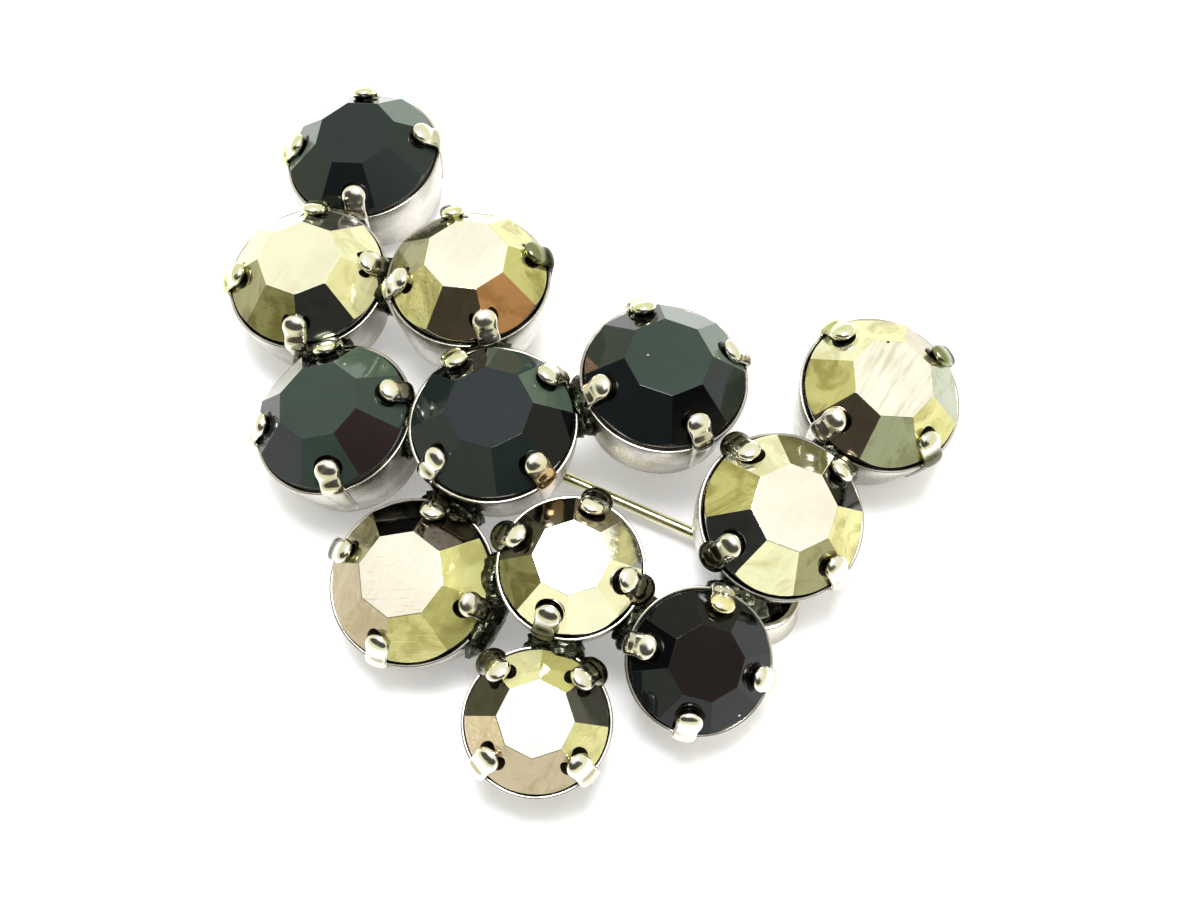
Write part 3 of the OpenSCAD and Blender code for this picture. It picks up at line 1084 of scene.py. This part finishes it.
@dataclass
class PinWork:
    """The wire pin with its hinge and catch, in a frame with +X along the stem and +Y along the
    rivet."""

    wire: float = 0.6
    eye: float = 1.9
    eye_width: float = 1.0
    length: float = 16.57
    point: float = 2.6
    neck: Pair = (0.84, 1.2)
    tip: float = 0.15
    rivet: float = 0.9
    head: float = 1.4
    head_height: float = 0.3
    ear_gap: float = 0.08
    ear: float = 0.45
    ear_width: float = 1.8
    ear_height: float = 2.2
    skew: float = 25.0
    plate: Triple = (3.2, 3.3, 0.45)
    plate_at: Triple = (0.0, 0.6, 1.25)
    hook_room: float = 0.5
    hook_thick: float = 0.42
    hook_length: float = 1.9
    hook_back: float = 2.4
    hook_mouth: float = 70.0
    post: Pair = (1.3, 0.9)
    post_lap: float = 0.1
    guard_at: Pair = (7.9, -11.1)
    guard_radius: float = 1.98
    guard_thick: float = 0.42
    guard_height: float = 2.3
    guard_from: float = -118.0
    guard_to: float = 38.0
    place: Matrix = field(init=False)
    level: Matrix = field(init=False)

    # Start of the wire in the eye: distance from the rivet, and share of the neck's width
    ROOT = ((0.55, 0.8), (0.6, 1.0), (0.75, 1.0))
    # Steps along the point, as shares of its length
    POINT_STEPS = (0.15, 0.4, 0.7, 0.92, 1.0)

    def __post_init__(self) -> None:
        """Finds the pin's place from its joint and its mount."""
        record = frame["record"]
        joint = next(j for j in record["behaviour"]["joints"] if j["name"] == "pin_hinge")
        mount = next(m for m in record["mounts"] if m["name"] == "pin")
        along = Vector(mount["axis"]).normalized()
        rivet = Vector(joint["axis"]).normalized()
        rivet = (rivet - along * rivet.dot(along)).normalized()
        turn = Matrix((along, rivet, along.cross(rivet))).transposed().to_4x4()
        at = Matrix.Translation(Vector(joint["pos_m"]) / MM)
        self.place = at @ turn
        self.level = at @ Matrix.Rotation(atan2(along.y, along.x), 4, "Z")

    def build(self) -> None:
        """Builds the stem, rivet, hinge, catch and guard."""
        for step in (self._stem, self._rivet, self._hinge, self._hook, self._guard):
            step()

    def _stem(self) -> None:
        """Draws the wire out to its point and winds its two coils."""
        neck = self.neck[0] / self.wire
        steps = [(x, neck * share) for x, share in self.ROOT]
        steps += [(self.neck[1], 1.0), (self.length - self.point, 1.0)]
        for share in self.POINT_STEPS:
            width = 1.0 - (1.0 - self.tip / self.wire) * share ** 1.15
            steps.append((self.length - self.point * (1.0 - share), width))
        steps.append((self.length + 0.04, 0.1))
        bm = bmesh.new()
        loft(bm, rounded_ring(24), [
            Matrix.Translation((x, 0, 0)) @ Matrix.Rotation(pi / 2, 4, "Y")
            @ Matrix.Diagonal((self.wire * w, self.wire * w, 1.0, 1.0))
            for x, w in steps
        ])
        coil = self.eye_width / 2
        middle = (self.eye - coil) / 2
        for side in (-0.5, 0.5):
            turn = bmesh.new()
            spun(turn, [(middle + x * coil, y * coil) for x, y in rounded_ring(16)], steps=48)
            bmesh.ops.rotate(turn, matrix=ON_SIDE, verts=turn.verts)
            bmesh.ops.translate(turn, vec=(0, side * coil, 0), verts=turn.verts)
            merge(bm, turn)
        finish_piece(bm, "pin_wire", PIN_WIRE, self.place, PIN, "pin_stem")

    def _rivet(self) -> None:
        """Spins the rivet with its two domed heads."""
        inner = self.eye_width / 2 + self.ear_gap + self.ear + 0.02
        shank, head, high = self.rivet / 2, self.head / 2, self.head_height
        half = [(shank, inner), (head, inner), (head, inner + high * 0.4),
                (head * 0.8, inner + high * 0.8), (head * 0.4, inner + high), (0.0, inner + high)]
        bm = bmesh.new()
        spun(bm, [(r, -z) for r, z in reversed(half)] + half, steps=40)
        soften(bm, 0.04, sharp=50.0)
        bmesh.ops.rotate(bm, matrix=ON_SIDE, verts=bm.verts)
        finish_piece(bm, "rivet", PIN_WIRE, self.place, replaces="hinge_rivet")

    def _hinge(self) -> None:
        """Builds the two ears and the plate that is soldered under a cup."""
        bm = bmesh.new()
        near = self.eye_width / 2 + self.ear_gap
        for start in (-near - self.ear, near):
            ear = bmesh.new()
            bmesh.ops.create_circle(ear, cap_ends=True, segments=40, radius=self.ear_width / 2)
            upper = [v for v in ear.verts if v.co.y > WELD]
            bmesh.ops.translate(ear, vec=(0, self.ear_height - self.ear_width / 2, 0), verts=upper)
            bmesh.ops.solidify(ear, geom=ear.faces, thickness=self.ear)
            bmesh.ops.recalc_face_normals(ear, faces=ear.faces)
            soften(ear, 0.05)
            bmesh.ops.rotate(ear, matrix=ON_SIDE, verts=ear.verts)
            low = min(v.co.y for v in ear.verts)
            bmesh.ops.translate(ear, vec=(0, start - low, 0), verts=ear.verts)
            bmesh.ops.transform(ear, matrix=self.place, verts=ear.verts)
            merge(bm, ear)
        plate = block(self.plate, Vector(self.plate_at) + Vector((0, 0, self.plate[2] / 2)))
        soften(plate, 0.1)
        bmesh.ops.transform(plate, matrix=self.level, verts=plate.verts)
        merge(bm, plate)
        finish_piece(bm, "hinge", PLAIN_SILVER)

    def _hook(self) -> None:
        """Spins the open hook round the wire and stands it on its post."""
        inner, high = self.hook_room, self.hook_length
        bm = bmesh.new()
        spun(bm, strip_outline(inner, inner + self.hook_thick, high), steps=36,
             angle=radians(360 - 2 * self.hook_mouth), start=radians(self.hook_mouth))
        soften(bm, 0.06)
        far, wide = self.post
        post = block((far - inner, wide, high), ((far + inner) / 2 + self.post_lap, 0, high / 2))
        turn = Matrix.Rotation(radians(180 + self.skew), 3, "Z")
        bmesh.ops.rotate(post, matrix=turn, verts=post.verts)
        soften(post, 0.06)
        merge(bm, post)
        along = Matrix.Translation((self.length - self.hook_back, 0, 0))
        finish_piece(bm, "catch", PLAIN_SILVER,
                     self.place @ along @ Matrix.Rotation(pi / 2, 4, "Y"))

    def _guard(self) -> None:
        """Spins the strip on edge that curls past the pin's point, and paints shade on its inside.
        """
        inner = self.guard_radius - self.guard_thick
        bm = bmesh.new()
        spun(bm, strip_outline(inner, self.guard_radius, self.guard_height), steps=48,
             angle=radians(self.guard_to - self.guard_from),
             start=radians(self.guard_from))
        soften(bm, 0.09, segments=3)
        # Painted shade on the strip's inner face
        paint(bm, bm.verts, lambda at: Plate.GUARD.tint(float(at.xy.length < inner + 0.05)))
        finish_piece(bm, "catch_guard", CUP_SILVER, Matrix.Translation((*self.guard_at, 0.0)))


# Studio


@dataclass
class Studio:
    """Pale floor, soft light and the camera at the photograph's angle."""

    aim: Triple = (0.265, -3.41, 5.0)
    distance: float = 110.6
    elevation: float = 64.1
    roll: float = 4.9
    lens: float = 64.0
    nearest: float = 5.0
    floor_radius: float = 1600.0
    floor_z: float = -0.02
    floor_glow: float = 0.25
    light_at: Triple = (20.0, 40.0, 500.0)
    light_size: float = 190.0
    light_watts: float = 2.6

    def build(self) -> None:
        """Builds the floor, the sky, the light and the camera."""
        self._floor()
        self._sky()
        self._softbox()
        self._camera()
        settings = bpy.context.scene.view_settings
        settings.view_transform = "Standard"
        settings.look = "None"
        settings.exposure = 0.0
        settings.gamma = 1.0

    def _floor(self) -> None:
        """Lays the floor under the brooch."""
        bm = bmesh.new()
        bmesh.ops.create_circle(bm, cap_ends=True, segments=64, radius=self.floor_radius * MM)
        bmesh.ops.translate(bm, vec=(0, 0, self.floor_z * MM), verts=bm.verts)
        mesh = to_mesh(bm, "floor")
        material = bpy.data.materials.new("pale_paper")
        material.use_nodes = True
        nodes = Nodes(material.node_tree)
        grain = nodes.noise(nodes.add("TexCoord").outputs["Object"], 160.0, i_Detail=4.0)
        share = nodes.ramp(grain, 0.3, 0.8)
        paper = nodes.blend("MIX", share, (0.925, 0.925, 0.97), (0.905, 0.907, 0.955))
        inputs = material.node_tree.nodes["Principled BSDF"].inputs
        for name, value in (
            ("Base Color", paper),
            ("Roughness", 0.8),
            ("Specular IOR Level", 0.2),
            ("Emission Color", (1.0, 1.0, 1.0)),
            ("Emission Strength", self.floor_glow),
        ):
            nodes.feed(inputs[name], value)
        mesh.materials.append(material)
        show("floor", mesh)

    def _sky(self) -> None:
        """Makes a white room with a darker side where the photographer stands."""
        world = bpy.data.worlds.new("white_room")
        bpy.context.scene.world = world
        world.use_nodes = True
        nodes = Nodes(world.node_tree)
        ways = nodes.add("TexCoord").outputs["Generated"]
        x, y, z = nodes.add("SeparateXYZ", i_Vector=ways).outputs
        over = nodes.ramp(z, 0.345, 0.38)
        under = nodes.calc("SUBTRACT", nodes.ramp(z, 0.86, 0.93), 1.0)
        near = nodes.calc("ADD", nodes.calc("MULTIPLY", x, -0.45), nodes.calc("MULTIPLY", y, -0.9))
        side = nodes.ramp(near, 0.16, 0.22)
        dark = nodes.calc("MULTIPLY", nodes.calc("MULTIPLY", over, side),
                          nodes.calc("MULTIPLY", under, -1.0))
        high = nodes.ramp(z, 0.52, 0.76)
        room = nodes.blend("MIX", high, (1.0, 1.0, 0.72), (1.05, 1.05, 1.03))
        back = world.node_tree.nodes["Background"].inputs
        nodes.feed(back["Color"], nodes.blend("MIX", dark, room, (0.075, 0.07, 0.06)))
        nodes.feed(back["Strength"], 1.05)

    def _softbox(self) -> None:
        """Hangs a square soft light that faces the brooch."""
        light = bpy.data.lights.new("overhead_softbox", "AREA")
        light.shape = "SQUARE"
        light.size = self.light_size * MM
        light.energy = self.light_watts
        lamp = show("overhead_softbox", light)
        lamp.location = Vector(self.light_at) * MM
        lamp.rotation_mode = "QUATERNION"
        lamp.rotation_quaternion = (-Vector(self.light_at)).to_track_quat("-Z", "Y")

    def _camera(self) -> None:
        """Sets the camera at the photograph's angle."""
        data = bpy.data.cameras.new("camera")
        data.lens = self.lens
        data.clip_start = self.nearest * MM
        up, tilt = radians(self.elevation), radians(self.roll)
        back = Vector((0.0, -cos(up), sin(up)))
        level = Vector((1.0, 0.0, 0.0))
        top = back.cross(level)
        right = cos(tilt) * level - sin(tilt) * top
        over = sin(tilt) * level + cos(tilt) * top
        turn = Matrix((right, over, back)).transposed().to_4x4()
        at = (Vector(self.aim) + back * self.distance) * MM
        camera = show("camera", data)
        camera.matrix_world = Matrix.Translation(at) @ turn
        bpy.context.scene.camera = camera


# The brooch


@dataclass
class Brooch:
    """The whole brooch."""

    # For each stone the tone of its table, those of its facets anticlockwise from the first one
    # past +X, and the bearings and tints of its prongs.
    # The tones are painted reflections and shade, and the tints paint the prongs' highlights,
    # reflections and shade.
    STONES = {
        "black_stone_1": (
            "SLATE", "FERN JET FROST FROST SLATE COAL SLATE SLATE",
            (1, 85, 171, 265), "SILVER GREEN GREEN SILVER",
        ),
        "gold_stone_1": (
            "IVORY", "PALE_GOLD SOOT IVORY CELERY DEEP_OLIVE DEEP_OLIVE STEEL CELERY",
            (80, 178, 262, 356), "GREEN GREEN TARNISHED SHADED",
        ),
        "gold_stone_2": (
            "CREAM", "OLIVE OLIVE DEEP_OLIVE DEEP_OLIVE LIME_GOLD SAND AMBER OLIVE",
            (9, 100, 189, 282), "DARK GREEN SILVER SILVER",
        ),
        "black_stone_2": (
            "MOSS", "FERN JET ASH SLATE COAL MOSS MAROON MOSS",
            (5, 89, 182, 271), "SHADED GREEN SILVER TARNISHED",
        ),
        "black_stone_3": (
            "INK", "FERN MOSS JET SLATE SLATE SLATE SLATE JET",
            (32, 116, 216, 306), "SILVER GREEN SILVER WARM",
        ),
        "black_stone_4": (
            "MOSS", "FROST FROST JET SLATE COAL COAL JET SLATE",
            (13, 104, 197, 291), "SILVER GREEN SILVER SILVER",
        ),
        "gold_stone_3": (
            "BRUSHED", "TAUPE OLIVE PALE_GOLD OLIVE SAND SAGE OLIVE SAGE",
            (29, 124, 212, 301), "DARK GREEN SILVER SHADED",
        ),
        "gold_stone_4": (
            "PEACH", "NIGHT LODEN PALE_GOLD OLIVE STEEL PALE_GOLD DEEP_OLIVE OLIVE",
            (35, 121, 208, 308), "SHADED DOMED DOMED SILVER",
        ),
        "gold_stone_5": (
            "PEACH", "LEAF UMBER NIGHT DEEP_OLIVE TAUPE TAUPE LIME_GOLD KHAKI",
            (63, 150, 242, 331), "DOMED SHADED SILVER SHADED",
        ),
        "gold_stone_6": (
            "WHITE", "WHITE TAUPE UMBER BARK DEEP_OLIVE CREAM WHITE CREAM",
            (65, 150, 244, 337), "DOMED DOMED SHADED DOMED",
        ),
        "black_stone_5": (
            "EMBER", "JET JET JET JET COAL JET JET JET",
            (69, 162, 253, 341), "GILT SILVER SILVER SILVER",
        ),
        "gold_stone_7": (
            "WHITE", "SOOT KHAKI CELERY BARK SAND TAUPE TAUPE LIME_GOLD",
            (37, 123, 214, 309), "DOMED DOMED SILVER SILVER",
        ),
    }
    # Grains of dust and a nick that show on the stones: x, y, size and tone
    SPECKS = {
        "black_stone_4": ((-1.05, 0.15, 0.06, Tone.WHITE),),
        "black_stone_5": ((0.45, 2.9, 0.06, Tone.WHITE), (1.75, -2.75, 0.07, Tone.WHITE)),
        "gold_stone_3": ((-0.05, 2.05, 0.09, Tone.JET),),
    }
    # Cups with a closed floor, over the hinge and over the catch
    CLOSED = ("black_stone_3", "gold_stone_4")

    def build(self) -> None:
        """Builds every piece in order."""
        seats = {name: Seat.of_node(name) for name in self.STONES}
        for name, (table, tones, bearings, plates) in self.STONES.items():
            seat = seats[name]
            finish = GOLD_GLASS if name.startswith("gold") else BLACK_GLASS
            CutStone(name, seat, finish, Tone[table], tuple(Tone[t] for t in tones.split()),
                     self.SPECKS.get(name, ())).build()
            prongs = {at: Plate[p] for at, p in zip(bearings, plates.split())}
            others = tuple(s for n, s in seats.items() if n != name)
            Setting(name, seat, prongs, name in self.CLOSED, others).build()
        SolderJoints(seats).build()
        PinWork().build()


def main() -> None:
    """Builds the brooch and the studio."""
    logging.basicConfig(level=logging.INFO, format="%(name)s: %(message)s")
    Brooch().build()
    Studio().build()


if __name__ == "__main__":
    main()
